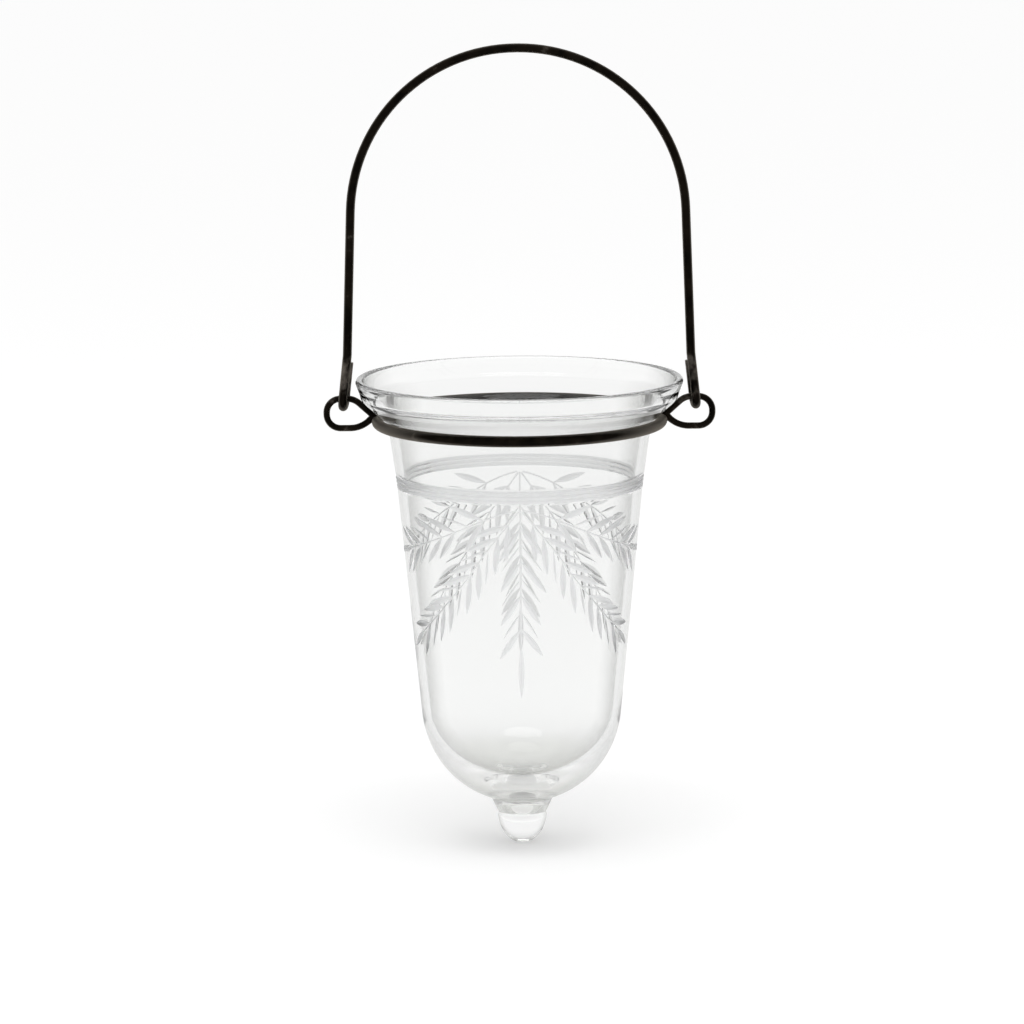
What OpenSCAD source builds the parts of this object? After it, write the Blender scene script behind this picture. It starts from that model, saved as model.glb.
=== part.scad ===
// Hanging votive lantern: a blown-glass bowl with a solid knob, held by a wire
// collar whose two side eyes hang on the hooked ends of a bail.
// Heights are measured from the plane through the middle of the collar.

/* [Glass bowl] */
// Outer radius of the rim
rim_r = 49.7; // [48.8:0.1:60]
// Height of the rim above the shoulder
rim_h = 6.5; // [4:0.1:8]
// Outer radius of the shoulder, where the flare turns up
shoulder_r = 47.9; // [46:0.1:58]
// Outer radius of the throat, just under the flare
throat_r = 40.1; // [33:0.1:41.5]
// Slope of the flare that rests on the collar, above level
flare_angle = 42; // [38:1:46]
// Outer radius where the wall's taper eases
waist_r = 37.5; // [32:0.1:39]
// Depth of that place below the collar
waist_drop = 18.5; // [14:0.5:24]
// Radius of the round bottom
bottom_r = 30.7; // [25:0.1:36]
// Depth of the round bottom below the collar
bowl_depth = 118.4; // [95:0.1:143]
// Thickness of the wall
wall = 2.6; // [1.8:0.1:3.2]
// Thickness of the fire-polished lip
lip = 2.2; // [1.6:0.1:2.8]
// Thickness of the glass in the middle of the bottom
base = 6.2; // [4:0.1:9]
// Outside blend radius at the throat
throat_blend = 5; // [2:0.5:6]
// Outside blend radius at the shoulder
shoulder_blend = 4.5; // [3.6:0.1:6]
// Outside blend radius where the taper eases
waist_blend = 150; // [60:10:240]

/* [Glass knob] */
// Radius of the seam between the knob and the bowl
seam_r = 9.7; // [7:0.1:12]
// Radius of the crease under the seam
crease_r = 7.6; // [5:0.1:9]
// Height of the tapered neck between the crease and the seam
neck_h = 4.9; // [3:0.1:7]
// Height of the round nub below the crease
nub_h = 9.4; // [6:0.1:12]
// Radius of the small flat at the tip
tip_r = 2.6; // [1.5:0.1:4]

/* [Collar] */
// Diameter of the collar's rod
rod_d = 3.3; // [2.6:0.1:4]
// Gap between the rod and the glass that rests on it
seat_gap = 0.15; // [0.1:0.05:0.3]
// Distance along the flare from the throat to where the rod bears
seat_run = 2.5; // [2:0.1:3.5]

/* [Eyes] */
// Diameter of the eyes' wire
eye_d = 2; // [1.6:0.1:2.4]
// Height of the upper strand above the collar
eye_rise = 6.9; // [6.4:0.1:8.3]
// Depth of the lower strand below the collar
eye_drop = 2.1; // [1.8:0.1:3.2]
// Length of straight strand outside the hook's middle
eye_reach = 1.2; // [0.6:0.1:3]
// Bend radius of the upper strand where it turns down to the collar
eye_bend = 3.2; // [2:0.1:4]
// Slope of the lower strand where it rises to the weld
weld_angle = 40; // [34:1:46]
// Gap between the sloping strand and the flare above it
eye_gap = 0.35; // [0.3:0.05:0.6]

/* [Bail] */
// Diameter of the bail's wire
bail_d = 2.7; // [2.2:0.1:3.3]
// Height of the arch's middle line above the collar
bail_h = 112.3; // [98:0.1:136]
// Gap between the rim and the legs at their elbows
rim_gap = 0.8; // [0.6:0.1:3]
// How far each leg draws in from its elbow to the arch
leg_draw = 1.4; // [0:0.1:2]
// Height of the elbow, where the leg turns out to its hook
elbow_h = 20.5; // [18:0.1:25]
// How far the shank moves out between the elbow and the hook's bend
hook_out = 1.5; // [0.5:0.1:3]
// Bend radius of the elbow
elbow_bend = 12; // [6:1:20]
// Gap round the strand in the hook's bend, when centred
hook_gap = 0.35; // [0.3:0.05:0.5]
// Gap left where the strand hangs on the hook
hang_gap = 0.08; // [0.05:0.01:0.12]
// Turn of the hook about its shank, which brings the tip inwards
hook_turn = 6; // [0:1:10]
// Length of the hook's straight tip above its bend
tip_len = 10.6; // [6:0.1:12]
// Length of the straight wire left between two bends
between = 0.6; // [0.4:0.1:1]

/* [Hidden] */

GLASS = [0.86, 0.92, 0.90, 0.45];
IRON = [0.10, 0.09, 0.08];
$fn = 96;
arc_steps = 10;
bottom_steps = 30;
nub_steps = 14;
lip_steps = 8;
hair = 0.004;
lap = 0.05;
blend_share = 0.45;

rod_r = rod_d / 2;
eye_r = eye_d / 2;
bail_r = bail_d / 2;

// The flare bears on the rod a seat_run above the throat.
flare_dir = [cos(flare_angle), sin(flare_angle)];
flare_out = [sin(flare_angle), -cos(flare_angle)];
throat = [throat_r, -seat_run * flare_dir[1] - (rod_r + seat_gap) * flare_out[1]];
bearing = throat + seat_run * flare_dir;
collar_r = bearing[0] + (rod_r + seat_gap) * flare_out[0];

// Outside of the wall: rim, shoulder, throat, waist, then the round bottom,
// which the wall meets at a tangent.
shoulder = throat + flare_dir * (shoulder_r - throat_r) / flare_dir[0];
waist = [waist_r, -waist_drop];
bottom_z = bottom_r - bowl_depth;
waist_arm = waist - [0, bottom_z];
heel_angle = atan2(waist_arm[1], waist_arm[0]) - acos(bottom_r / norm(waist_arm));
heel = [bottom_r * cos(heel_angle), bottom_z + bottom_r * sin(heel_angle)];
seam_z = bottom_z - sqrt(pow(bottom_r, 2) - pow(seam_r, 2));
wall_line = [[rim_r, shoulder[1] + rim_h - lip / 2], shoulder, throat, waist, heel];

// Hook and eye
hook_r = eye_r + bail_r + hook_gap;
hook_z = eye_rise + hook_gap - hang_gap;
leg_half = rim_r + rim_gap + bail_r;
shank = unit([-hook_out, 0, elbow_h - hook_z]);
across = [0, cos(hook_turn), 0] + sin(hook_turn) * [-shank[2], 0, shank[0]];
shank_len = (elbow_h - hook_z + across[2] * hook_r) / shank[2];
hook_x = leg_half + across[0] * hook_r - shank[0] * shank_len;
hook = [hook_x, 0, hook_z];
elbow = hook - across * hook_r + shank * shank_len;

// Arch: one half circle that the legs meet at a tangent
leg_slope = leg_draw / (bail_h - elbow_h - leg_half + leg_draw);
crown = [leg_half - leg_slope * (bail_h - elbow_h), 0, bail_h];
arch_turn = turn_angle(elbow, crown, [0, 0, bail_h]);
arch_r = (crown[0] - between / 2) / tan(arch_turn / 2);
hang_z = bail_h - bail_r;

function unit(v) = v / norm(v);
function turn_angle(a, b, c) = acos(unit(b - a) * unit(c - b));
function reversed(list) = [for (i = [len(list) - 1:-1:0]) list[i]];
function mirrored(points) = [for (p = reversed(points)) [-p[0], p[1], p[2]]];
function right_of(v) = [v[1], -v[0]];
function bends_right(a, b, c) = right_of(b - a) * (c - b) > 0;

// Corner b of a line, moved to the line's right by a width
function moved(a, b, c, width) =
    let (n1 = right_of(unit(b - a)), n2 = right_of(unit(c - b)))
    b + (n1 + n2) * width / (1 + n1 * n2);

// Blend radius at corner b, held to what the shorter straight beside it has room for
function fitted(a, b, c, r) =
    min(r, blend_share * min(norm(b - a), norm(c - b)) / tan(turn_angle(a, b, c) / 2));

// Points of the arc that rounds corner b, in a plane
function rounded(a, b, c, r) =
    let (
        turn = turn_angle(a, b, c),
        back = unit(a - b),
        ahead = unit(c - b),
        middle = b + unit(back + ahead) * r / cos(turn / 2),
        start = b + back * r * tan(turn / 2) - middle,
        way = bends_right(a, b, c) ? -1 : 1,
        from = atan2(start[1], start[0])
    )
    [for (i = [0:arc_steps]) middle + r * [
        cos(from + way * turn * i / arc_steps),
        sin(from + way * turn * i / arc_steps)
    ]];

// The wall's face at a depth below its outside, from the shoulder to the waist
function wall_face(depth) =
    let (
        corners = concat(wall_line, [2 * wall_line[4] - wall_line[3]]),
        wanted = [shoulder_blend, throat_blend, waist_blend],
        blends = [for (i = [1:3]) fitted(corners[i - 1], corners[i], corners[i + 1], wanted[i - 1])],
        line = [
            wall_line[0],
            for (i = [1:3]) moved(corners[i - 1], corners[i], corners[i + 1], depth),
            moved(corners[3], corners[4], corners[5], depth)
        ],
        top = [rim_r - depth * lip / wall, wall_line[0][1]]
    )
    [
        for (i = [1:3])
            each rounded(
                i == 1 ? top : line[i - 1], line[i], line[i + 1],
                blends[i - 1] + (bends_right(line[i - 1], line[i], line[i + 1]) ? -depth : depth)
            )
    ];

function lip_arc() = [
    for (i = [0:lip_steps])
        wall_line[0] - [lip / 2, 0] + lip / 2 * [-cos(180 * i / lip_steps), sin(180 * i / lip_steps)]
];

function round_bottom(wide, deep, last_angle) = [
    for (i = [0:bottom_steps])
        let (angle = heel_angle + (last_angle - heel_angle) * i / bottom_steps)
        [max(0, wide * cos(angle)), bottom_z + deep * sin(angle)]
];

// Wire of radius r along points in space; each inner corner has a bend radius.
// A straight is a hair thinner than the bends, so that its ends run into them.
module wire(points, bends, r) {
    last = len(points) - 1;
    cut = [for (i = [0:last])
        i == 0 || i == last ? 0
            : bends[i - 1] * tan(turn_angle(points[i - 1], points[i], points[i + 1]) / 2) - lap];
    for (i = [0:last - 1]) {
        way = unit(points[i + 1] - points[i]);
        run = norm(points[i + 1] - points[i]) - cut[i] - cut[i + 1];
        translate(points[i] + way * cut[i])
            rotate([0, acos(way[2]), atan2(way[1], way[0])])
                cylinder(h = run, r = r - hair);
    }
    for (i = [1:last - 1])
        bend(points[i - 1], points[i], points[i + 1], bends[i - 1], r);
}

module bend(a, b, c, bend_r, r) {
    turn = turn_angle(a, b, c);
    way = unit(b - a);
    pole = unit(cross(way, c - b));
    inward = cross(pole, way);
    middle = b - way * bend_r * tan(turn / 2) + inward * bend_r;
    multmatrix([
        [-inward[0], way[0], pole[0], middle[0]],
        [-inward[1], way[1], pole[1], middle[1]],
        [-inward[2], way[2], pole[2], middle[2]],
        [0, 0, 0, 1]
    ])
        rotate_extrude(angle = turn)
            translate([bend_r, 0])
                circle(r);
}

// The lantern hangs from the origin, which the arch's underside touches.
module hung() {
    translate([0, 0, -hang_z])
        children();
}

module glass_bowl() {
    seam_angle = atan2(seam_z - bottom_z, seam_r);
    outside = concat(wall_face(0), round_bottom(bottom_r, bottom_r, seam_angle));
    inside = concat(wall_face(wall), round_bottom(bottom_r - wall, bottom_r - base, -90));
    color(GLASS)
        hung()
            rotate_extrude()
                polygon(concat(lip_arc(), outside, [[0, seam_z]], reversed(inside)));
}

module glass_knob() {
    crease_z = seam_z - neck_h;
    tip_angle = acos(tip_r / crease_r);
    nub = [for (i = [0:nub_steps])
        let (angle = tip_angle * i / nub_steps)
        [crease_r * cos(angle), crease_z - nub_h * sin(angle) / sin(tip_angle)]];
    color(GLASS)
        hung()
            rotate_extrude()
                polygon(concat([[0, seam_z], [seam_r, seam_z]], nub, [[0, crease_z - nub_h]]));
}

module collar_rod() {
    rotate_extrude()
        translate([collar_r, 0])
            circle(rod_r);
}

module collar_ring() {
    color(IRON)
        hung()
            collar_rod();
}

// One wire, bent round from the weld over the top, out round the end and back
// underneath to the weld; the collar's rod cuts both ends to fit it.
module eye() {
    foot = throat + flare_out * (eye_r + eye_gap) + flare_dir * seat_run;
    weld = foot + flare_dir * rod_r;
    rim_slope = atan2(wall_line[0][1] - shoulder[1], wall_line[0][0] - shoulder[0]);
    past_flare = foot[0] + (eye_rise - foot[1]) / tan(flare_angle);
    past_rim = shoulder[0] + (eye_rise - shoulder[1]) / tan(rim_slope) + (eye_r + eye_gap) / sin(rim_slope);
    end_r = (eye_rise + eye_drop) / 2;
    end_bend = end_r - between / 2;
    end_x = hook_x + eye_reach + end_bend;
    line = [
        foot,
        [max(past_flare, past_rim), eye_rise],
        [end_x, eye_rise],
        [end_x, -eye_drop],
        [weld[0] + (weld[1] + eye_drop) / tan(weld_angle), -eye_drop],
        weld
    ];
    difference() {
        wire([for (p = line) [p[0], 0, p[1]]], [eye_bend, end_bend, end_bend, eye_bend], eye_r);
        collar_rod();
    }
}

module right_eye() {
    color(IRON)
        hung()
            eye();
}

module left_eye() {
    color(IRON)
        hung()
            mirror([1, 0, 0])
                eye();
}

module bail() {
    half = [
        hook + across * hook_r + shank * tip_len,
        hook + across * hook_r - shank * hook_r,
        hook - across * hook_r - shank * hook_r,
        elbow,
        crown
    ];
    hook_bend = hook_r - between / 2;
    half_bends = [hook_bend, hook_bend, elbow_bend, arch_r];
    color(IRON)
        hung()
            wire(concat(half, mirrored(half)), concat(half_bends, reversed(half_bends)), bail_r);
}

glass_bowl();
glass_knob();
collar_ring();
left_eye();
right_eye();
bail();
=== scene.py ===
import math

import bmesh
import bpy
import numpy as np
from mathutils import Matrix, Vector


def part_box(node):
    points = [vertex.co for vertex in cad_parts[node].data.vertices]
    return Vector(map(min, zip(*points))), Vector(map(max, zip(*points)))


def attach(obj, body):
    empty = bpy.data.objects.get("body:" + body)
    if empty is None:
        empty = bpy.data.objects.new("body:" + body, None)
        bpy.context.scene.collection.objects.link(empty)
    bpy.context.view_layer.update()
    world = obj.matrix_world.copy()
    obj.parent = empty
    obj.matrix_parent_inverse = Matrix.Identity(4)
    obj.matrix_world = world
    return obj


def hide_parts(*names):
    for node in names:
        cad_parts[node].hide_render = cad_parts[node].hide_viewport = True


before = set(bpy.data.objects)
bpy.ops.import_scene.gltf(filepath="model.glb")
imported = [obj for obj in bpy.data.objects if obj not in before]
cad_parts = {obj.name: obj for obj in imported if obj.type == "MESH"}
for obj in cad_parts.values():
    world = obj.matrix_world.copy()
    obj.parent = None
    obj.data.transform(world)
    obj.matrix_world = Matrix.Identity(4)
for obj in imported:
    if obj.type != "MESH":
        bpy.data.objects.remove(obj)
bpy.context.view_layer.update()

# Camera: a long lens, a little above the collar, framed square. The lantern
# stands a shade to the right of the middle and leans by half a degree.
look_down = math.radians(9.84)
lens_lean = math.radians(0.43)
camera_reach = 1.218
aim = Vector((-0.0025, 0, -0.13927))
ahead = Vector((0, math.cos(look_down), -math.sin(look_down)))
level = Vector((1, 0, 0))
upward = level.cross(ahead)
camera = bpy.data.objects.new("camera", bpy.data.cameras.new("camera"))
bpy.context.scene.collection.objects.link(camera)
camera.data.sensor_width = 36
camera.data.lens = 140.6
camera.data.clip_start = 0.01
camera.data.clip_end = 100
camera_right = level * math.cos(lens_lean) - upward * math.sin(lens_lean)
camera_up = upward * math.cos(lens_lean) + level * math.sin(lens_lean)
camera.matrix_world = Matrix.Translation(aim - ahead * camera_reach) @ Matrix(
    (camera_right, camera_up, -ahead)
).transposed().to_4x4()
bpy.context.scene.camera = camera

# Glass: one blown bowl of clear soda glass, 2.6 mm thick, with a fire-polished
# lip and a flare that sits in the collar. A solid knob was stuck to its bottom
# while both were hot, and three rings were ground round the cold wall.
collar_z = -0.11095
wall, lip, base = 0.0026, 0.0022, 0.0062
rim_r, throat_r, waist_r, bottom_r = 0.04967, 0.0401, 0.0375, 0.0307
flare = math.radians(42)
throat = (throat_r, 0.0018 * math.cos(flare) - 0.0025 * math.sin(flare))
shoulder = (0.0479, throat[1] + (0.0479 - throat_r) * math.tan(flare))
rim_z = shoulder[1] + 0.0065
waist = (waist_r, -0.0185)
shoulder_bend, throat_bend, waist_bend = 0.0045, 0.005, 0.150
shoulder_steps, throat_steps, waist_steps = 8, 12, 8
bottom_z = bottom_r - 0.1184
heel_turn = math.atan2(waist[1] - bottom_z, waist_r) - math.acos(
    bottom_r / math.hypot(waist_r, waist[1] - bottom_z)
)
heel = (bottom_r * math.cos(heel_turn), bottom_z + bottom_r * math.sin(heel_turn))
seam_r, seam_bend, crease_r = 0.0097, 0.0009, 0.0076
seam_z = bottom_z - math.sqrt(bottom_r**2 - seam_r**2)
crease_z = seam_z - 0.0049
nub_h, tip_r = 0.00939, 0.0026
ring_heights = (-0.0164, -0.0177, -0.0190)
ring_half, ring_depth = 0.0006, 0.0003
spin_steps, inside_steps, outside_steps = 192, 44, 40
lip_steps, seam_steps, nub_steps = 14, 6, 24
longest_step, same_spot = 0.004, 1e-6


def moved_corner(a, b, c, width):
    """Corner b of a line, moved to the line's right by a width."""
    a, b, c = (np.array(p) for p in (a, b, c))
    n1, n2 = ((q - p) / np.linalg.norm(q - p) for p, q in ((a, b), (b, c)))
    n1, n2 = np.array((n1[1], -n1[0])), np.array((n2[1], -n2[0]))
    return tuple(b + (n1 + n2) * width / (1 + n1 @ n2))


def round_corner(a, b, c, r, steps):
    """Points of the arc of radius r that rounds corner b."""
    a, b, c = (np.array(p) for p in (a, b, c))
    back, on = (a - b) / np.linalg.norm(a - b), (c - b) / np.linalg.norm(c - b)
    turn = math.acos(max(-1, min(1, -back @ on)))
    half = (back + on) / np.linalg.norm(back + on)
    middle = b + half * r / math.cos(turn / 2)
    start = b + back * r * math.tan(turn / 2) - middle
    way = 1 if back[0] * on[1] - back[1] * on[0] < 0 else -1
    swings = [way * turn * i / steps for i in range(steps + 1)]
    return [
        (
            middle[0] + start[0] * math.cos(s) - start[1] * math.sin(s),
            middle[1] + start[0] * math.sin(s) + start[1] * math.cos(s),
        )
        for s in swings
    ]


def wall_face(depth):
    """The wall's face at a depth under its outside, from the lip to the waist."""
    line = [(rim_r, rim_z - lip / 2), shoulder, throat, waist, heel]
    line.append((2 * heel[0] - waist[0], 2 * heel[1] - waist[1]))
    corners = [moved_corner(line[i - 1], line[i], line[i + 1], depth) for i in (1, 2, 3, 4)]
    corners = [(rim_r - depth * lip / wall, rim_z - lip / 2)] + corners
    bends = (
        (1, shoulder_bend - depth, shoulder_steps),
        (2, throat_bend + depth, throat_steps),
        (3, waist_bend + depth, waist_steps),
    )
    face = []
    for i, r, steps in bends:
        face += round_corner(corners[i - 1], corners[i], corners[i + 1], r, steps)
    return face


def round_bottom(wide, deep, last, steps):
    """The round bottom's curve, from where the wall meets it to an angle."""
    turns = [heel_turn + (last - heel_turn) * i / steps for i in range(steps + 1)]
    return [(max(0.0, wide * math.cos(t)), bottom_z + deep * math.sin(t)) for t in turns]


def even_line(points, gap):
    """The same line, with points added so that none are further apart than gap."""
    out = [points[0]]
    for p, q in zip(points, points[1:]):
        n = max(1, math.ceil(math.dist(p, q) / gap))
        for i in range(1, n + 1):
            out.append((p[0] + (q[0] - p[0]) * i / n, p[1] + (q[1] - p[1]) * i / n))
    return out


inside = wall_face(wall) + round_bottom(
    bottom_r - wall, bottom_r - base, -math.pi / 2, inside_steps
)
seam_turn = math.atan2(seam_z - bottom_z, seam_r)
outside = wall_face(0) + round_bottom(bottom_r, bottom_r, seam_turn, outside_steps)
outside = even_line(outside, longest_step)
for height in ring_heights:
    top, low = height + ring_half, height - ring_half
    radii, falls = [p[0] for p in outside], [-p[1] for p in outside]
    rs = [float(np.interp(-z, falls, radii)) for z in (top, height, low)]
    ring = [(rs[0], top), (rs[1] - ring_depth, height), (rs[2], low)]
    outside = [p for p in outside if p[1] > top] + ring + [p for p in outside if p[1] < low]

# the knob: a short cone under the seam, a pinched crease, then the round nub
cone_foot = (crease_r + 0.00025, crease_z + 0.0008)
pinch = [(crease_r - 0.0002, crease_z + 0.0002), (crease_r - 0.00025, crease_z - 0.0001)]
nub_turn = math.acos(tip_r / crease_r)
nub = [
    (
        crease_r * math.cos(nub_turn * i / nub_steps),
        crease_z - nub_h * math.sin(nub_turn * i / nub_steps) / math.sin(nub_turn),
    )
    for i in range(2, nub_steps + 1)
]
tip = [(tip_r * 0.6, crease_z - nub_h), (0.0, crease_z - nub_h)]
cone = round_corner(outside[-3], (seam_r, seam_z), cone_foot, seam_bend, seam_steps)
knob = cone + [cone_foot] + pinch + nub + tip
lip_line = [
    (
        rim_r - lip / 2 - lip / 2 * math.cos(math.pi * i / lip_steps),
        rim_z - lip / 2 + lip / 2 * math.sin(math.pi * i / lip_steps),
    )
    for i in range(lip_steps + 1)
]
profile = even_line(inside, longest_step)[::-1] + lip_line + outside[:-3] + knob
profile = [
    p for i, p in enumerate(profile) if i == 0 or math.dist(p, profile[i - 1]) > same_spot
]


def new_tree(name, inputs):
    """A geometry tree with named inputs, its group input and output nodes."""
    tree = bpy.data.node_groups.new(name, "GeometryNodeTree")
    tree.interface.new_socket("Geometry", in_out="INPUT", socket_type="NodeSocketGeometry")
    for label, kind in inputs:
        tree.interface.new_socket(label, in_out="INPUT", socket_type="NodeSocket" + kind)
    tree.interface.new_socket("Geometry", in_out="OUTPUT", socket_type="NodeSocketGeometry")
    return tree, tree.nodes.new("NodeGroupInput"), tree.nodes.new("NodeGroupOutput")


def node(tree, kind, links=(), **settings):
    """A node with its properties set, and its inputs linked or given values."""
    made = tree.nodes.new(kind)
    for key, value in settings.items():
        setattr(made, key, value)
    for slot, source in dict(links).items():
        if isinstance(source, bpy.types.NodeSocket):
            tree.links.new(source, made.inputs[slot])
        else:
            made.inputs[slot].default_value = source
    return made


def sums(tree, operation, *values):
    """A math node's result."""
    return node(tree, "ShaderNodeMath", dict(enumerate(values)), operation=operation).outputs[0]


def grown(name, source, tree, values):
    """The plain mesh that a tree makes from a source, with the modifier gone."""
    maker = bpy.data.objects.new(name + "_maker", source)
    bpy.context.scene.collection.objects.link(maker)
    step = maker.modifiers.new("tree", "NODES")
    step.node_group = tree
    names = {s.name: s.identifier for s in tree.interface.items_tree if s.in_out == "INPUT"}
    for label, value in values.items():
        step[names[label]] = value
    bpy.context.view_layer.update()
    seen = maker.evaluated_get(bpy.context.evaluated_depsgraph_get())
    mesh = bpy.data.meshes.new_from_object(seen)
    bpy.data.objects.remove(maker)
    shape = bmesh.new()
    shape.from_mesh(mesh)
    bmesh.ops.recalc_face_normals(shape, faces=shape.faces)
    shape.to_mesh(mesh)
    shape.free()
    made = bpy.data.objects.new(name, mesh)
    bpy.context.scene.collection.objects.link(made)
    return made


# the profile's points are rows, turned round the middle in as many columns
spin, spin_in, spin_out = new_tree(
    "spin_profile", (("Steps", "Int"), ("Rows", "Int"), ("Glass", "Material"))
)
given = spin_in.outputs
grid = node(spin, "GeometryNodeMeshGrid", {
    "Vertices X": sums(spin, "ADD", given["Steps"], 1),
    "Vertices Y": given["Rows"],
})
index = node(spin, "GeometryNodeInputIndex").outputs[0]
column = sums(spin, "FLOOR", sums(spin, "DIVIDE", index, given["Rows"]))
row = sums(spin, "SUBTRACT", index, sums(spin, "MULTIPLY", column, given["Rows"]))
line_point = node(
    spin, "GeometryNodeSampleIndex", {"Geometry": given["Geometry"], "Index": row},
    data_type="FLOAT_VECTOR", domain="POINT",
)
spin.links.new(node(spin, "GeometryNodeInputPosition").outputs[0], line_point.inputs["Value"])
apart = node(spin, "ShaderNodeSeparateXYZ", {0: line_point.outputs[0]}).outputs
turn = sums(spin, "DIVIDE", sums(spin, "MULTIPLY", column, math.tau), given["Steps"])
placed = node(spin, "ShaderNodeCombineXYZ", {
    0: sums(spin, "MULTIPLY", apart[0], sums(spin, "COSINE", turn)),
    1: sums(spin, "MULTIPLY", apart[0], sums(spin, "SINE", turn)),
    2: apart[2],
}).outputs[0]
spun = node(spin, "GeometryNodeSetPosition", {"Geometry": grid.outputs[0], "Position": placed})
closed = node(spin, "GeometryNodeMergeByDistance", {
    "Geometry": spun.outputs[0], "Distance": same_spot / 10,
})
real = node(spin, "GeometryNodeRealizeInstances", {0: closed.outputs[0]})
glazed = node(spin, "GeometryNodeSetMaterial", {
    "Geometry": real.outputs[0], "Material": given["Glass"],
})
spin.links.new(glazed.outputs[0], spin_out.inputs[0])

clear_glass = bpy.data.materials.new("clear_glass")
cut_glass = bpy.data.materials.new("cut_glass")
line_mesh = bpy.data.meshes.new("glass_profile")
line_mesh.from_pydata(
    [(r, 0, z + collar_z) for r, z in profile], [(i, i + 1) for i in range(len(profile) - 1)], []
)
glass = grown("blown_glass", line_mesh, spin, {
    "Steps": spin_steps, "Rows": len(profile), "Glass": clear_glass,
})
glass.data.materials.append(cut_glass)

# Cut sprays: fronds of pointed leaves ground into the cold wall with a V-edged
# wheel, five from one point on the front and five on the back. Each leaf is
# one touch of the wheel, and the stems are fine lines drawn with its edge.
flat_r = 0.0365
cone_fall = (waist_r - heel[0]) / (waist[1] - heel[1])
# each stem's points are millimetres round the wall and up from the collar
fronds = {
    "middle": {
        "stem": [(0, -21.6), (0, -32), (0, -42), (0, -52), (0, -63)],
        "Both Sides": False, "First": 0.0030, "Gap": 0.0050, "Left Turn": 36, "Right Turn": 36,
        "Thin Every": 2, "End Length": 0.0166,
    },
    "lower": {
        "stem": [
            (-0.5, -21.8), (-4.5, -27.1), (-8.6, -32), (-12.4, -36.8), (-15.9, -41.6),
            (-19.8, -45.9), (-24.1, -50.1), (-28.5, -54.2), (-33.3, -58), (-38.6, -61.5),
        ],
        "Both Sides": True, "First": 0.0050, "Gap": 0.0050, "Left Turn": 28, "Right Turn": 31,
        "Thin Every": 3, "End Length": 0.0115,
    },
    "upper": {
        "stem": [
            (-0.9, -21.5), (-4.6, -22.4), (-9.8, -24.3), (-14.7, -26.5), (-20, -28.8),
            (-26, -31.2), (-33, -33.7), (-39.6, -35.7), (-45.5, -37),
        ],
        "Both Sides": True, "First": 0.0070, "Gap": 0.0050, "Left Turn": 38, "Right Turn": 33,
        "Thin Every": 3, "End Length": 0.0110,
    },
}

# one touch of the wheel, a unit long, wide and deep: a keel that rises to a
# point at each end, under a flat top that stands a little proud of the wall
wheel_rise, half_steps = 0.25, 6
reach = math.sqrt(1 + wheel_rise)
keel = [i / half_steps * reach for i in range(-half_steps, half_steps + 1)]
leaf_points = []
for i, s in enumerate(keel):
    x, z = 0.5 + s / 2, s**2 - 1
    half = (wheel_rise - z) / 2
    if i in (0, 2 * half_steps):
        leaf_points.append((x, 0, z))
    else:
        leaf_points += [(x, -half, wheel_rise), (x, 0, z), (x, half, wheel_rise)]
last = len(leaf_points) - 1
leaf_faces = [(0, 1, 2), (0, 2, 3), (0, 3, 1)]
leaf_faces += [(last, last - 2, last - 3), (last, last - 1, last - 2), (last, last - 3, last - 1)]
for k in range(2 * half_steps - 2):
    a, b = 1 + 3 * k, 4 + 3 * k
    leaf_faces += [(a, b, b + 1, a + 1), (a + 1, b + 1, b + 2, a + 2), (a + 2, b + 2, b, a)]
leaf_mesh = bpy.data.meshes.new("leaf_touch")
leaf_mesh.from_pydata(leaf_points, [], leaf_faces)
leaf_touch = bpy.data.objects.new("leaf_touch", leaf_mesh)

sprays, spray_in, spray_out = new_tree("cut_frond", (
    ("Leaf", "Object"), ("Gap", "Float"), ("First", "Float"),
    ("Left Turn", "Float"), ("Right Turn", "Float"),
    ("Leaf Length", "Float"), ("Leaf Width", "Float"), ("Leaf Depth", "Float"),
    ("Thin Every", "Int"), ("End Length", "Float"),
    ("Stem Width", "Float"), ("Stem Depth", "Float"), ("Both Sides", "Bool"),
    ("Flat Radius", "Float"), ("Wall Radius", "Float"), ("Wall Height", "Float"),
    ("Wall Fall", "Float"), ("Seed", "Int"), ("Cut", "Material"),
))
given = spray_in.outputs


def xyz(*values):
    """The sprays' node that joins up to three numbers to one vector."""
    return node(sprays, "ShaderNodeCombineXYZ", dict(enumerate(values))).outputs[0]


def by_chance(low, high, seed):
    """A number between two others for each leaf, as the hand varies."""
    seed = sums(sprays, "ADD", given["Seed"], seed)
    return node(
        sprays, "FunctionNodeRandomValue", {2: low, 3: high, "Seed": seed}, data_type="FLOAT"
    ).outputs[1]


def lighter(share):
    """One for a full touch of the wheel, and less by a share for a light one."""
    return sums(sprays, "SUBTRACT", 1, sums(sprays, "MULTIPLY", thin, share))


leaf = node(sprays, "GeometryNodeObjectInfo", {"Object": given["Leaf"]}).outputs["Geometry"]
curve = node(sprays, "GeometryNodeMeshToCurve", {0: given["Geometry"]}).outputs[0]
curve = node(
    sprays, "GeometryNodeResampleCurve", {"Curve": curve, "Length": given["Gap"]}, mode="LENGTH"
).outputs[0]
along = node(sprays, "GeometryNodeSplineParameter").outputs
tangent = node(
    sprays, "ShaderNodeSeparateXYZ", {0: node(sprays, "GeometryNodeInputTangent").outputs[0]}
).outputs
heading = sums(sprays, "ARCTAN2", tangent[1], tangent[0])
is_end = node(sprays, "GeometryNodeCurveEndpointSelection", {0: 0, 1: 1}).outputs[0]
far_enough = sums(sprays, "GREATER_THAN", along["Length"], given["First"])
wanted = sums(sprays, "MULTIPLY", far_enough, sums(sprays, "SUBTRACT", 1, is_end))
thin = sums(sprays, "COMPARE", sums(sprays, "MODULO", along["Index"], given["Thin Every"]), 0, 0.5)
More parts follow.
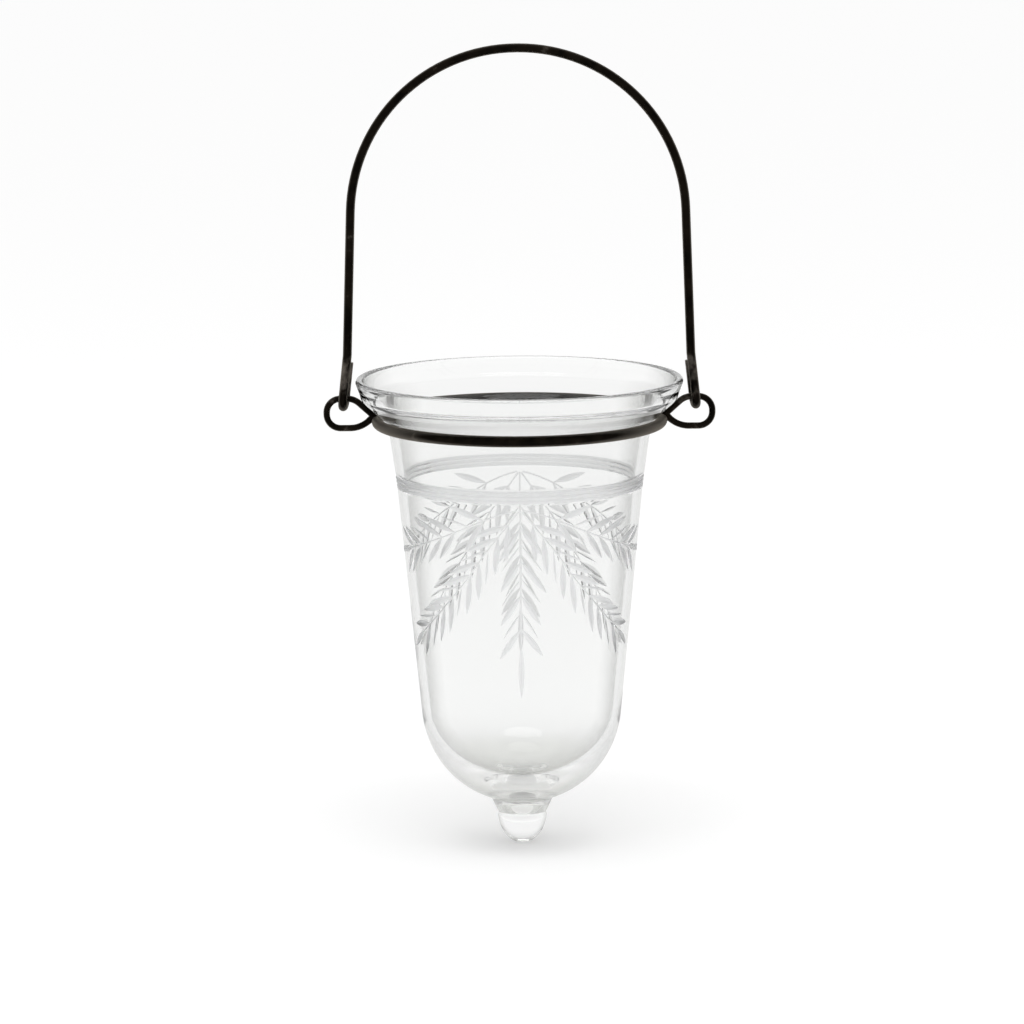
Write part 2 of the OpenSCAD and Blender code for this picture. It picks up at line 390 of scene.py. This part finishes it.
shorter, narrower, shallower = lighter(0.12), lighter(0.62), lighter(0.5)
parts = []
for side, label in ((1, "Left Turn"), (-1, "Right Turn")):
    sway = by_chance(-0.07, 0.07, side + 1)
    stretch = by_chance(0.92, 1.06, side + 11)
    spread = sums(sprays, "MULTIPLY", -side, sums(sprays, "RADIANS", given[label]))
    angle = sums(sprays, "ADD", heading, sums(sprays, "ADD", sway, spread))
    size = xyz(
        sums(sprays, "MULTIPLY", sums(sprays, "MULTIPLY", given["Leaf Length"], shorter), stretch),
        sums(sprays, "MULTIPLY", given["Leaf Width"], narrower),
        sums(sprays, "MULTIPLY", given["Leaf Depth"], shallower),
    )
    parts.append(node(sprays, "GeometryNodeInstanceOnPoints", {
        "Points": curve, "Selection": wanted, "Instance": leaf,
        "Scale": size, "Rotation": xyz(0, 0, angle),
    }).outputs[0])
end_size = xyz(given["End Length"], given["Leaf Width"], given["Leaf Depth"])
parts.append(node(sprays, "GeometryNodeInstanceOnPoints", {
    "Points": curve, "Selection": is_end, "Instance": leaf,
    "Rotation": xyz(0, 0, heading), "Scale": end_size,
}).outputs[0])

# the stem: a three-sided strip, point down, swept along the line
half_side, stem_gap = 0.866, 0.0015
edge = node(sprays, "GeometryNodeCurvePrimitiveCircle", {"Resolution": 3, "Radius": 1}).outputs[0]
edge = node(
    sprays, "GeometryNodeTransform", {"Geometry": edge, "Rotation": (0, 0, math.pi / 2)}
).outputs[0]
edge_size = xyz(sums(sprays, "MULTIPLY", given["Stem Width"], half_side), given["Stem Depth"], 1)
edge = node(sprays, "GeometryNodeTransform", {"Geometry": edge, "Scale": edge_size}).outputs[0]
line = node(sprays, "GeometryNodeMeshToCurve", {0: given["Geometry"]}).outputs[0]
line = node(
    sprays, "GeometryNodeResampleCurve", {"Curve": line, "Length": stem_gap}, mode="LENGTH"
).outputs[0]
line = node(sprays, "GeometryNodeSetCurveNormal", {"Curve": line}, mode="Z_UP").outputs[0]
parts.append(node(sprays, "GeometryNodeCurveToMesh", {
    "Curve": line, "Profile Curve": edge, "Fill Caps": True,
}).outputs[0])
flat = node(sprays, "GeometryNodeJoinGeometry")
for part in parts:
    sprays.links.new(part, flat.inputs[0])
real = node(sprays, "GeometryNodeRealizeInstances", {0: flat.outputs[0]}).outputs[0]
other = node(sprays, "GeometryNodeTransform", {"Geometry": real, "Scale": (-1, 1, 1)}).outputs[0]
other = node(sprays, "GeometryNodeFlipFaces", {0: other}).outputs[0]
other = node(
    sprays, "GeometryNodeSwitch", {"Switch": given["Both Sides"], "True": other},
    input_type="GEOMETRY",
).outputs[0]
pair = node(sprays, "GeometryNodeJoinGeometry")
sprays.links.new(real, pair.inputs[0])
sprays.links.new(other, pair.inputs[0])

# the flat frond is bent round the cone of the wall, and copied to the back
spot = node(
    sprays, "ShaderNodeSeparateXYZ", {0: node(sprays, "GeometryNodeInputPosition").outputs[0]}
).outputs
round_turn = sums(sprays, "DIVIDE", spot[0], given["Flat Radius"])
lean = sums(sprays, "ARCTANGENT", given["Wall Fall"])
above = sums(sprays, "SUBTRACT", spot[1], given["Wall Height"])
radius = sums(sprays, "ADD", given["Wall Radius"], sums(
    sprays, "MULTIPLY", given["Wall Fall"], above))
radius = sums(sprays, "ADD", radius, sums(sprays, "MULTIPLY", spot[2], sums(
    sprays, "COSINE", lean)))
height = sums(sprays, "SUBTRACT", spot[1], sums(sprays, "MULTIPLY", spot[2], sums(
    sprays, "SINE", lean)))
wrapped = xyz(
    sums(sprays, "MULTIPLY", radius, sums(sprays, "SINE", round_turn)),
    sums(sprays, "MULTIPLY", -1, sums(sprays, "MULTIPLY", radius, sums(
        sprays, "COSINE", round_turn))),
    height,
)
bent = node(
    sprays, "GeometryNodeSetPosition", {"Geometry": pair.outputs[0], "Position": wrapped}
).outputs[0]
back = node(
    sprays, "GeometryNodeTransform", {"Geometry": bent, "Rotation": (0, 0, math.pi)}
).outputs[0]
both = node(sprays, "GeometryNodeJoinGeometry")
sprays.links.new(bent, both.inputs[0])
sprays.links.new(back, both.inputs[0])
real = node(sprays, "GeometryNodeRealizeInstances", {0: both.outputs[0]})
ground = node(sprays, "GeometryNodeSetMaterial", {
    "Geometry": real.outputs[0], "Material": given["Cut"],
})
sprays.links.new(ground.outputs[0], spray_out.inputs[0])

grinding = bmesh.new()
for seed, (name, frond) in enumerate(fronds.items()):
    stem = [(u / 1000, v / 1000 + collar_z, 0) for u, v in frond.pop("stem")]
    stem_mesh = bpy.data.meshes.new(name + "_stem")
    stem_mesh.from_pydata(stem, [(i, i + 1) for i in range(len(stem) - 1)], [])
    cutter = grown(name + "_frond", stem_mesh, sprays, {
        **frond, "Leaf": leaf_touch,
        "Leaf Length": 0.0122, "Leaf Width": 0.0020, "Leaf Depth": 0.0005,
        "Stem Width": 0.0005, "Stem Depth": 0.00014, "Flat Radius": flat_r,
        "Wall Radius": waist_r, "Wall Height": waist[1] + collar_z, "Wall Fall": cone_fall,
        "Seed": 7 * seed + 3, "Cut": cut_glass,
    })
    grinding.from_mesh(cutter.data)
    bpy.data.objects.remove(cutter)
wheel = bpy.data.objects.new("wheel_cuts", bpy.data.meshes.new("wheel_cuts"))
grinding.to_mesh(wheel.data)
grinding.free()
bpy.context.scene.collection.objects.link(wheel)
for piece in (glass, wheel):
    piece.data.materials.clear()
    piece.data.materials.append(clear_glass)
    piece.data.materials.append(cut_glass)
for face in wheel.data.polygons:
    face.material_index = 1
for face in glass.data.polygons:
    x, y, z = face.center
    in_ring = any(abs(z - collar_z - h) < ring_half for h in ring_heights)
    face.material_index = int(in_ring and math.hypot(x, y) > waist_r - wall / 2)


def solid_step(piece, other, operation, solver):
    """Joins another solid to a piece, or takes it away, and keeps a plain mesh."""
    step = piece.modifiers.new("step", "BOOLEAN")
    step.operation, step.solver, step.object = operation, solver, other
    step.use_self = solver == "EXACT"
    bpy.context.view_layer.update()
    seen = piece.evaluated_get(bpy.context.evaluated_depsgraph_get())
    made = bpy.data.meshes.new_from_object(seen)
    piece.modifiers.clear()
    piece.data = made


# the touches overlap, so they are joined to one solid, with a spare touch far
# above them, before they are taken out of the wall
spare = bpy.data.objects.new("spare_touch", leaf_mesh)
spare.location = (0, 0, 5)
bpy.context.scene.collection.objects.link(spare)
solid_step(wheel, spare, "UNION", "EXACT")
solid_step(glass, wheel, "DIFFERENCE", "MANIFOLD")
for done in (wheel, spare, leaf_touch):
    bpy.data.objects.remove(done)

# polished faces take the smooth curve's own normals, and cuts keep their facets
facet_turn, corner_turn = math.radians(24), math.radians(28)
shape = bmesh.new()
shape.from_mesh(glass.data)
for edge in shape.edges:
    sides = edge.link_faces
    cut = [f.material_index for f in sides]
    edge.smooth = len(sides) == 2 and cut[0] == cut[1] and (
        cut[0] == 0 or sides[0].normal.angle(sides[1].normal, 0) < facet_turn
    )
for face in shape.faces:
    face.smooth = True
shape.to_mesh(glass.data)
shape.free()
curve_points = np.array(profile)
steps_on = np.diff(curve_points, axis=0)
step_len = np.linalg.norm(steps_on, axis=1)
facing = np.stack([-steps_on[:, 1], steps_on[:, 0]], 1) / step_len[:, None]
starts, ends = facing.copy(), facing.copy()
for i in range(1, len(facing)):
    if facing[i] @ facing[i - 1] > math.cos(corner_turn):
        mean = facing[i] / step_len[i] + facing[i - 1] / step_len[i - 1]
        starts[i] = ends[i - 1] = mean / np.linalg.norm(mean)
starts[0], ends[-1] = (0, 1), (0, -1)
mesh = glass.data
spots = np.array([v.co for v in mesh.vertices])
spots[:, 2] -= collar_z
spot_r = np.hypot(spots[:, 0], spots[:, 1])
normals = np.zeros((len(mesh.loops), 3))
for face in mesh.polygons:
    if face.material_index:
        continue
    corners = [mesh.loops[i].vertex_index for i in face.loop_indices]
    rz = np.stack([spot_r[corners], spots[corners, 2]], 1)
    middle = rz.mean(0)
    share = np.clip(((middle - curve_points[:-1]) * steps_on).sum(1) / step_len**2, 0, 1)
    gap = np.linalg.norm(curve_points[:-1] + steps_on * share[:, None] - middle, axis=1)
    i = int(gap.argmin())
    t = np.clip((rz - curve_points[i]) @ steps_on[i] / step_len[i] ** 2, 0, 1)[:, None]
    n = starts[i] * (1 - t) + ends[i] * t
    n /= np.linalg.norm(n, axis=1)[:, None]
    safe = np.maximum(rz[:, 0], 1e-9)
    normals[list(face.loop_indices)] = np.stack(
        [n[:, 0] * spots[corners, 0] / safe, n[:, 0] * spots[corners, 1] / safe, n[:, 1]], 1
    )
mesh.normals_split_custom_set(normals.tolist())

# Glass finish: the blown wall is clear and waves a little, and its colour darkens
# where it turns away from the view: painted shade for the more glass that lies
# behind it there. The wheel leaves the cuts matt and grey, because they aren't polished again.


def new_group(name, inputs, outputs):
    """A shader group with named inputs and outputs, and its two end nodes."""
    group = bpy.data.node_groups.new(name, "ShaderNodeTree")
    for label, kind, value in inputs:
        made = group.interface.new_socket(label, in_out="INPUT", socket_type="NodeSocket" + kind)
        made.default_value = value
    for label, kind in outputs:
        group.interface.new_socket(label, in_out="OUTPUT", socket_type="NodeSocket" + kind)
    ends = group.nodes.new("NodeGroupInput").outputs, group.nodes.new("NodeGroupOutput").inputs
    return group, *ends


def mixed(tree, share, under, over, blend_type="MIX"):
    """A colour between two others, or of both, by a share of the second."""
    return node(
        tree, "ShaderNodeMix", {"Factor": share, 6: under, 7: over},
        data_type="RGBA", blend_type=blend_type,
    ).outputs[2]


def spread_out(tree, value, low, high, to_low=0.0, to_high=1.0):
    """A value that runs from low to high, made to run between two others."""
    return node(tree, "ShaderNodeMapRange", {
        "Value": value, "From Min": low, "From Max": high, "To Min": to_low, "To Max": to_high,
    }).outputs[0]


def ramp(tree, share, *stops):
    """A colour ramp's result, from its places and colours in order."""
    made = node(tree, "ShaderNodeValToRGB", {"Fac": share})
    for _ in stops[2:]:
        made.color_ramp.elements.new(0.5)
    for stop, (place, colour) in zip(made.color_ramp.elements, stops):
        stop.position, stop.color = place, colour
    return made.outputs["Color"]


def shader(material, links):
    """The material's tree and Principled shader, with links and plain values."""
    material.use_nodes = True
    tree = material.node_tree
    tree.nodes.clear()
    main = node(tree, "ShaderNodeBsdfPrincipled", links)
    node(tree, "ShaderNodeOutputMaterial", {"Surface": main.outputs[0]})
    return tree, main


# hand_work: the slow waves that a blown wall has, and the grain of a ground one
hand_work, work_in, work_out = new_group("hand_work", (
    ("Wave Scale", "Float", 28), ("Grain Scale", "Float", 2600), ("Grain Share", "Float", 0),
), (("Height", "Float"), ("Grain", "Float")))
where = node(hand_work, "ShaderNodeTexCoord").outputs["Object"]
stretched = node(hand_work, "ShaderNodeMapping", {"Vector": where, "Scale": (1, 1, 1.7)}).outputs[0]
waves = node(hand_work, "ShaderNodeTexNoise", {
    "Vector": stretched, "Scale": work_in["Wave Scale"], "Detail": 1.0, "Roughness": 0.3,
}).outputs["Fac"]
grain = node(hand_work, "ShaderNodeTexNoise", {
    "Vector": where, "Scale": work_in["Grain Scale"], "Detail": 2.0, "Roughness": 0.6,
}).outputs["Fac"]
hand_work.links.new(sums(hand_work, "ADD", waves, sums(
    hand_work, "MULTIPLY", grain, work_in["Grain Share"])), work_out["Height"])
hand_work.links.new(grain, work_out["Grain"])

# the glass's edge shade: painted shade, the plain colour going over to a darker
# edge colour where the surface turns away from the view, with more than half of
# the change over the first half of the turn
painted_edge_shade, turn_in, turn_out = new_group("painted_edge_shade", (
    ("Facing", "Float", 0), ("Plain", "Color", (1, 1, 1, 1)), ("Outline", "Color", (0, 0, 0, 1)),
), (("Color", "Color"),))
share = ramp(
    painted_edge_shade, turn_in["Facing"],
    (0.42, (0, 0, 0, 1)), (0.72, (0.55, 0.55, 0.55, 1)), (1.0, (1, 1, 1, 1)),
)
painted_edge_shade.links.new(
    mixed(painted_edge_shade, share, turn_in["Plain"], turn_in["Outline"]), turn_out["Color"]
)

base_tint = (0.93, 0.935, 0.91, 1)
base_middle, base_near, base_far = collar_z - 0.1130, 0.003, 0.010
for material, grain_share, finish, plain, painted_edge_colour in (
    (
        clear_glass, 0.0, {"Roughness": 0.0, "Transmission Weight": 1.0},
        (0.925, 0.928, 0.924, 1), (0.20, 0.205, 0.19, 1),
    ),
    (
        cut_glass, 0.02, {"Transmission Weight": 0.8},
        (0.80, 0.805, 0.81, 1), (0.40, 0.41, 0.41, 1),
    ),
):
    tree, main = shader(material, {"IOR": 1.52, "Specular Tint": (0.6, 0.6, 0.6, 1), **finish})
    work = node(tree, "ShaderNodeGroup", {
        "Wave Scale": 28, "Grain Scale": 2600, "Grain Share": grain_share,
    }, node_tree=hand_work).outputs
    bump = node(tree, "ShaderNodeBump", {
        "Height": work["Height"], "Strength": 0.35, "Distance": 0.0006,
    }).outputs[0]
    tree.links.new(bump, main.inputs["Normal"])
    # painted shade: the base colour darkens towards the edge colour where the glass turns away from
    # the view
    colour = node(tree, "ShaderNodeGroup", {
        "Facing": node(tree, "ShaderNodeLayerWeight", {"Blend": 0.5}).outputs["Facing"],
        "Plain": plain, "Outline": painted_edge_colour,
    }, node_tree=painted_edge_shade).outputs["Color"]
    if material is clear_glass:
        # the thick base is a little greener, round the seam of the knob
        where = node(tree, "ShaderNodeTexCoord").outputs["Object"]
        tall = node(tree, "ShaderNodeSeparateXYZ", {0: where}).outputs[2]
        away = sums(tree, "ABSOLUTE", sums(tree, "SUBTRACT", tall, base_middle))
        thick = spread_out(tree, away, base_near, base_far, 1.0, 0.0)
        colour = mixed(tree, thick, colour, base_tint, "MULTIPLY")
    else:
        rough = spread_out(tree, work["Grain"], 0.0, 1.0, 0.28, 0.46)
        tree.links.new(rough, main.inputs["Roughness"])
    tree.links.new(colour, main.inputs["Base Color"])
glass.name = "blown_and_cut_glass"
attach(glass, "glass")
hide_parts("glass_bowl", "glass_knob")

# Collar: one turn of round iron wire, 3.3 mm thick, butt welded into a ring
# under the flare. It and the eyes are blackened, oiled and rubbed by handling.
# The iron's colour also goes light grey where a wire turns away from the view,
# a painted sheen along its edges.
iron, iron_in, iron_out = new_group("oil_rubbed_iron", (
    ("Facing", "Float", 0), ("Patch Scale", "Float", 180), ("Pit Scale", "Float", 1500),
    ("Wear Height", "Float", 0), ("Wear Reach", "Float", 0.01), ("Wear", "Float", 0),
), (("Color", "Color"), ("Roughness", "Float"), ("Height", "Float")))
deep_black, brown_black = (0.0035, 0.0030, 0.0025, 1), (0.011, 0.0085, 0.0060, 1)
# the second of these is the light grey of the painted sheen on a wire's edges
rubbed_grey, painted_edge_sheen = (0.13, 0.115, 0.10, 1), (0.20, 0.185, 0.165, 1)
bare_from, bare_full, sheen_from, sheen_full = 0.66, 0.92, 0.25, 0.85
where = node(iron, "ShaderNodeTexCoord").outputs["Object"]
patches = node(iron, "ShaderNodeTexNoise", {
    "Vector": where, "Scale": iron_in["Patch Scale"], "Detail": 4.0, "Roughness": 0.6,
}).outputs["Fac"]
pits = node(iron, "ShaderNodeTexNoise", {
    "Vector": where, "Scale": iron_in["Pit Scale"], "Detail": 3.0, "Roughness": 0.7,
}).outputs["Fac"]
tall = node(iron, "ShaderNodeSeparateXYZ", {0: where}).outputs[2]
away = sums(iron, "ABSOLUTE", sums(iron, "SUBTRACT", tall, iron_in["Wear Height"]))
near = sums(iron, "SUBTRACT", 1, sums(iron, "DIVIDE", away, iron_in["Wear Reach"]))
near = sums(iron, "MULTIPLY", sums(iron, "MAXIMUM", near, 0), iron_in["Wear"])
rubbed = sums(iron, "ADD", patches, sums(iron, "MULTIPLY", near, 0.30))
tone = ramp(iron, patches, (0.35, deep_black), (0.68, brown_black))
worn = mixed(iron, spread_out(iron, rubbed, bare_from, bare_full), tone, rubbed_grey)
# painted sheen: the colour goes over to a light grey where the wire turns away from the view
sheen = spread_out(iron, iron_in["Facing"], sheen_from, sheen_full)
iron.links.new(mixed(iron, sheen, worn, painted_edge_sheen), iron_out["Color"])
rough = sums(iron, "ADD", 0.36, sums(iron, "MULTIPLY", pits, 0.2))
iron.links.new(rough, iron_out["Roughness"])
uneven = sums(iron, "ADD", sums(iron, "MULTIPLY", pits, 0.6), patches)
iron.links.new(uneven, iron_out["Height"])


def blackened(name, wear_height, wear_reach, wear):
    """The finish of a blackened wire, rubbed lighter round one height."""
    material = bpy.data.materials.new(name)
    tree, main = shader(material, {"Metallic": 1.0, "Specular Tint": (0.5, 0.48, 0.45, 1)})
    finish = node(tree, "ShaderNodeGroup", {
        "Facing": node(tree, "ShaderNodeLayerWeight", {"Blend": 0.5}).outputs["Facing"],
        "Wear Height": wear_height, "Wear Reach": wear_reach, "Wear": wear,
    }, node_tree=iron).outputs
    tree.links.new(finish["Color"], main.inputs["Base Color"])
    tree.links.new(finish["Roughness"], main.inputs["Roughness"])
    bump = node(tree, "ShaderNodeBump", {
        "Height": finish["Height"], "Strength": 0.4, "Distance": 0.0001,
    }).outputs[0]
    tree.links.new(bump, main.inputs["Normal"])
    return material


collar_iron = blackened("collar_iron", collar_z, 0.01, 0.0)
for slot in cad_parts["collar_ring"].material_slots:
    slot.material = collar_iron

# Eyes: two loops of 2 mm iron wire, each bent round a pin and welded to one
# side of the collar. They hang on the bail's hooks, which bear on the upper
# strand of each loop and rub it light.
eye_r, rod_r, eye_gap, seat_run = 0.001, 0.00165, 0.00035, 0.0025
eye_rise, eye_drop = 0.0069, 0.0021
eye_near, hook_x, hook_gap = 0.05015, 0.053066, 0.0012
foot_bend, weld_bend, weld_lean = 0.0055, 0.0085, math.radians(40)
eye_bend_steps = 12
flare_dir = (math.cos(flare), math.sin(flare))
foot = (
    throat[0] + flare_dir[1] * (eye_r + eye_gap) + flare_dir[0] * seat_run,
    throat[1] - flare_dir[0] * (eye_r + eye_gap) + flare_dir[1] * seat_run,
)
weld = (foot[0] + flare_dir[0] * rod_r, foot[1] + flare_dir[1] * rod_r)
end_bend = (eye_rise + eye_drop) / 2 - 0.0003
end_x = hook_x + hook_gap + end_bend
eye_line = [
    foot, (eye_near, eye_rise), (end_x, eye_rise), (end_x, -eye_drop),
    (weld[0] + (weld[1] + eye_drop) / math.tan(weld_lean), -eye_drop), weld,
]
eye_path = [foot]
for i, bend in ((1, foot_bend), (2, end_bend), (3, end_bend), (4, weld_bend)):
    eye_path += round_corner(
        eye_line[i - 1], eye_line[i], eye_line[i + 1], bend, eye_bend_steps
    )
eye_path.append(weld)

# the weld swells the wire over a share of its length at each end, and dents
# mostly thin it, so that it keeps its full size elsewhere
wire_gap, swell_from, dent_scale, dent_middle = 0.0004, 0.43, 220, 0.9
wire, wire_in, wire_out = new_tree("bent_wire", (
    ("Wire Radius", "Float"), ("Sides", "Int"), ("Weld Swell", "Float"), ("Wobble", "Float"),
    ("Seed", "Int"), ("Iron", "Material"),
))
given = wire_in.outputs
curve = node(wire, "GeometryNodeMeshToCurve", {0: given["Geometry"]}).outputs[0]
curve = node(
    wire, "GeometryNodeResampleCurve", {"Curve": curve, "Length": wire_gap}, mode="LENGTH"
).outputs[0]
factor = node(wire, "GeometryNodeSplineParameter").outputs["Factor"]
from_middle = sums(wire, "ABSOLUTE", sums(wire, "SUBTRACT", factor, 0.5))
swell = node(wire, "ShaderNodeMapRange", {
    "Value": from_middle, "From Min": swell_from, "From Max": 0.5,
    "To Min": 0.0, "To Max": given["Weld Swell"],
}, interpolation_type="SMOOTHSTEP").outputs[0]
dents = node(wire, "ShaderNodeTexNoise", {
    "Vector": node(wire, "GeometryNodeInputPosition").outputs[0],
    "W": given["Seed"], "Scale": dent_scale, "Detail": 1,
}, noise_dimensions="4D").outputs[0]
dents = sums(wire, "MULTIPLY", sums(wire, "SUBTRACT", dents, dent_middle), given["Wobble"])
size = sums(wire, "MULTIPLY", given["Wire Radius"], sums(
    wire, "ADD", sums(wire, "ADD", swell, 1), dents))
round_wire = node(
    wire, "GeometryNodeCurvePrimitiveCircle", {"Resolution": given["Sides"], "Radius": 1}
).outputs[0]
swept = node(wire, "GeometryNodeCurveToMesh", {
    "Curve": curve, "Profile Curve": round_wire, "Scale": size, "Fill Caps": True,
}).outputs[0]
swept = node(wire, "GeometryNodeSetShadeSmooth", {0: swept}).outputs[0]
real = node(wire, "GeometryNodeRealizeInstances", {0: swept}).outputs[0]
dressed = node(wire, "GeometryNodeSetMaterial", {"Geometry": real, "Material": given["Iron"]})
wire.links.new(dressed.outputs[0], wire_out.inputs[0])

eye_iron = blackened("eye_iron", collar_z + eye_rise, 0.006, 0.5)
for side, seed, name in ((1, 3, "right_eye"), (-1, 8, "left_eye")):
    path = bpy.data.meshes.new(name + "_path")
    path.from_pydata(
        [(side * x, 0, z + collar_z) for x, z in eye_path],
        [(i, i + 1) for i in range(len(eye_path) - 1)], [],
    )
    eye = grown(name + "_wire", path, wire, {
        "Wire Radius": eye_r, "Sides": 24, "Weld Swell": 0.2, "Wobble": 0.05,
        "Seed": seed, "Iron": eye_iron,
    })
    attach(eye, "collar")
    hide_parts(name)

# Bail: one length of 2.7 mm iron wire bent to a tall arch, its two ends turned
# up into hooks. Its colour is lighter on the shanks, round a height a little above the hooks.
bail_iron = blackened("bail_iron", collar_z + 0.0145, 0.012, 1.0)
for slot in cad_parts["bail"].material_slots:
    slot.material = bail_iron

# Floor and light: a white table top right under the knob, in an even white
# room with one soft lamp overhead.
ground_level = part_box("glass_knob")[0][2] - 0.0001
floor_half = 60
floor_corners = [
    (x * floor_half, y * floor_half, ground_level)
    for x, y in ((-1, -1), (1, -1), (1, 1), (-1, 1))
]
floor_mesh = bpy.data.meshes.new("floor")
floor_mesh.from_pydata(floor_corners, [], [(0, 1, 2, 3)])
floor = bpy.data.objects.new("floor", floor_mesh)
bpy.context.scene.collection.objects.link(floor)
paper = bpy.data.materials.new("white_paper")
shader(paper, {
    "Base Color": (0.82, 0.82, 0.82, 1), "Roughness": 0.9, "Specular IOR Level": 0.0,
    "Emission Color": (1, 1, 1, 1), "Emission Strength": 0.25,
})
floor_mesh.materials.append(paper)

# the camera, the glass and the metal see a dome that dims overhead, and the
# object is lit by an even white
world = bpy.data.worlds.new("white_room")
bpy.context.scene.world = world
world.use_nodes = True
tree = world.node_tree
tree.nodes.clear()
ray = node(tree, "ShaderNodeLightPath").outputs
seen = sums(tree, "MAXIMUM", ray["Is Camera Ray"], sums(
    tree, "MAXIMUM", ray["Is Glossy Ray"], ray["Is Transmission Ray"]))
where = node(tree, "ShaderNodeTexCoord").outputs["Generated"]
up = node(tree, "ShaderNodeSeparateXYZ", {0: where}).outputs[2]
dome = ramp(tree, up, (0.25, (0.99, 0.99, 0.99, 1)), (0.7, (0.75, 0.75, 0.75, 1)))
room = mixed(tree, seen, (0.88, 0.88, 0.88, 1), dome)
node(tree, "ShaderNodeOutputWorld", {
    "Surface": node(tree, "ShaderNodeBackground", {"Color": room, "Strength": 1.0}).outputs[0],
})

lamp = bpy.data.objects.new("overhead_lamp", bpy.data.lights.new("overhead_lamp", "AREA"))
lamp.data.shape, lamp.data.size, lamp.data.size_y = "RECTANGLE", 0.8, 0.45
lamp.data.energy = 2.6
lamp.location = (-0.03, -0.35, 0.85)
lamp_aim = Vector((0, 0, -0.12))
lamp.rotation_euler = (lamp_aim - lamp.location).to_track_quat("-Z", "Y").to_euler()
bpy.context.scene.collection.objects.link(lamp)

bpy.context.scene.view_settings.view_transform = "Standard"
# light turns many times inside thick glass before it comes out
light_turns = bpy.context.scene.cycles
light_turns.max_bounces = 32
light_turns.glossy_bounces = 32
light_turns.transmission_bounces = 32
